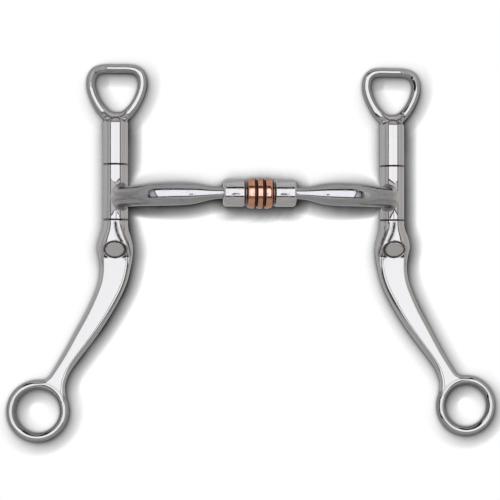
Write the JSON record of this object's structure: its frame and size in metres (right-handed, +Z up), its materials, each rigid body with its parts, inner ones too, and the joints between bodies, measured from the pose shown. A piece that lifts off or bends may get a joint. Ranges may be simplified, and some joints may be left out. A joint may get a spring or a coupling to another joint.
{
  "type": "curb bit",
  "caption": "Curb bit with swivelling cheeks, curved shanks, rein rings and a jointed mouthpiece with a grooved copper roller.",
  "frame": {"origin": "the centre of the bit's bounding box: on the middle plane between the cheeks, 10.47 mm in front of the two cheek axes and 28.75 mm below the axis of the centre link", "axes": "+X along the mouthpiece to the side seen on the right from the front, +Y to the back, +Z up the cheeks to the bridle loops"},
  "size_m": [0.2462, 0.034, 0.1866],
  "materials": {
    "polished_steel": "mirror-polished stainless steel with fine handling scratches",
    "pin_steel": "turned steel",
    "sweet_iron": "satin-polished iron, slightly blue",
    "copper": "polished copper, browned in the grooves"
  },
  "bodies": {
    "centre_link": {"right_collar": "polished_steel", "left_collar": "polished_steel", "roller_axle": "pin_steel", "right_axle_plug": "pin_steel", "left_axle_plug": "pin_steel", "right_flange_washer": "polished_steel", "left_flange_washer": "polished_steel", "right_ring_spacer": "pin_steel", "left_ring_spacer": "pin_steel"},
    "right_half": {"right_cannon": "sweet_iron", "right_cheek_sleeve": "polished_steel", "right_neck_button": "sweet_iron"},
    "left_half": {"left_cannon": "sweet_iron", "left_cheek_sleeve": "polished_steel", "left_neck_button": "sweet_iron"},
    "right_cheek": {"right_bridle_loop": "polished_steel", "right_shank": "polished_steel", "right_cheek_spindle": "pin_steel"},
    "left_cheek": {"left_bridle_loop": "polished_steel", "left_shank": "polished_steel", "left_cheek_spindle": "pin_steel"},
    "right_roller": {"right_copper_ring": "copper"},
    "centre_roller": {"centre_copper_ring": "copper"},
    "left_roller": {"left_copper_ring": "copper"}
  },
  "joints": [
    {"name": "right_neck_turn", "type": "hinge", "parent": "centre_link", "child": "right_half", "pos_m": [0.0135, -0.00953, 0.02875], "axis": [1, 0, 0], "continuous": true},
    {"name": "left_neck_turn", "type": "hinge", "parent": "centre_link", "child": "left_half", "pos_m": [-0.0135, -0.00953, 0.02875], "axis": [1, 0, 0], "continuous": true},
    {"name": "right_cheek_swivel", "type": "hinge", "parent": "right_half", "child": "right_cheek", "pos_m": [0.0697, 0.01047, 0.02945], "axis": [0, 0, 1], "continuous": true},
    {"name": "left_cheek_swivel", "type": "hinge", "parent": "left_half", "child": "left_cheek", "pos_m": [-0.0697, 0.01047, 0.02945], "axis": [0, 0, 1], "continuous": true},
    {"name": "right_roller_spin", "type": "hinge", "parent": "centre_link", "child": "right_roller", "pos_m": [0.0044, -0.00953, 0.02875], "axis": [1, 0, 0], "continuous": true},
    {"name": "centre_roller_spin", "type": "hinge", "parent": "centre_link", "child": "centre_roller", "pos_m": [0, -0.00953, 0.02875], "axis": [1, 0, 0], "continuous": true},
    {"name": "left_roller_spin", "type": "hinge", "parent": "centre_link", "child": "left_roller", "pos_m": [-0.0044, -0.00953, 0.02875], "axis": [1, 0, 0], "continuous": true}
  ]
}
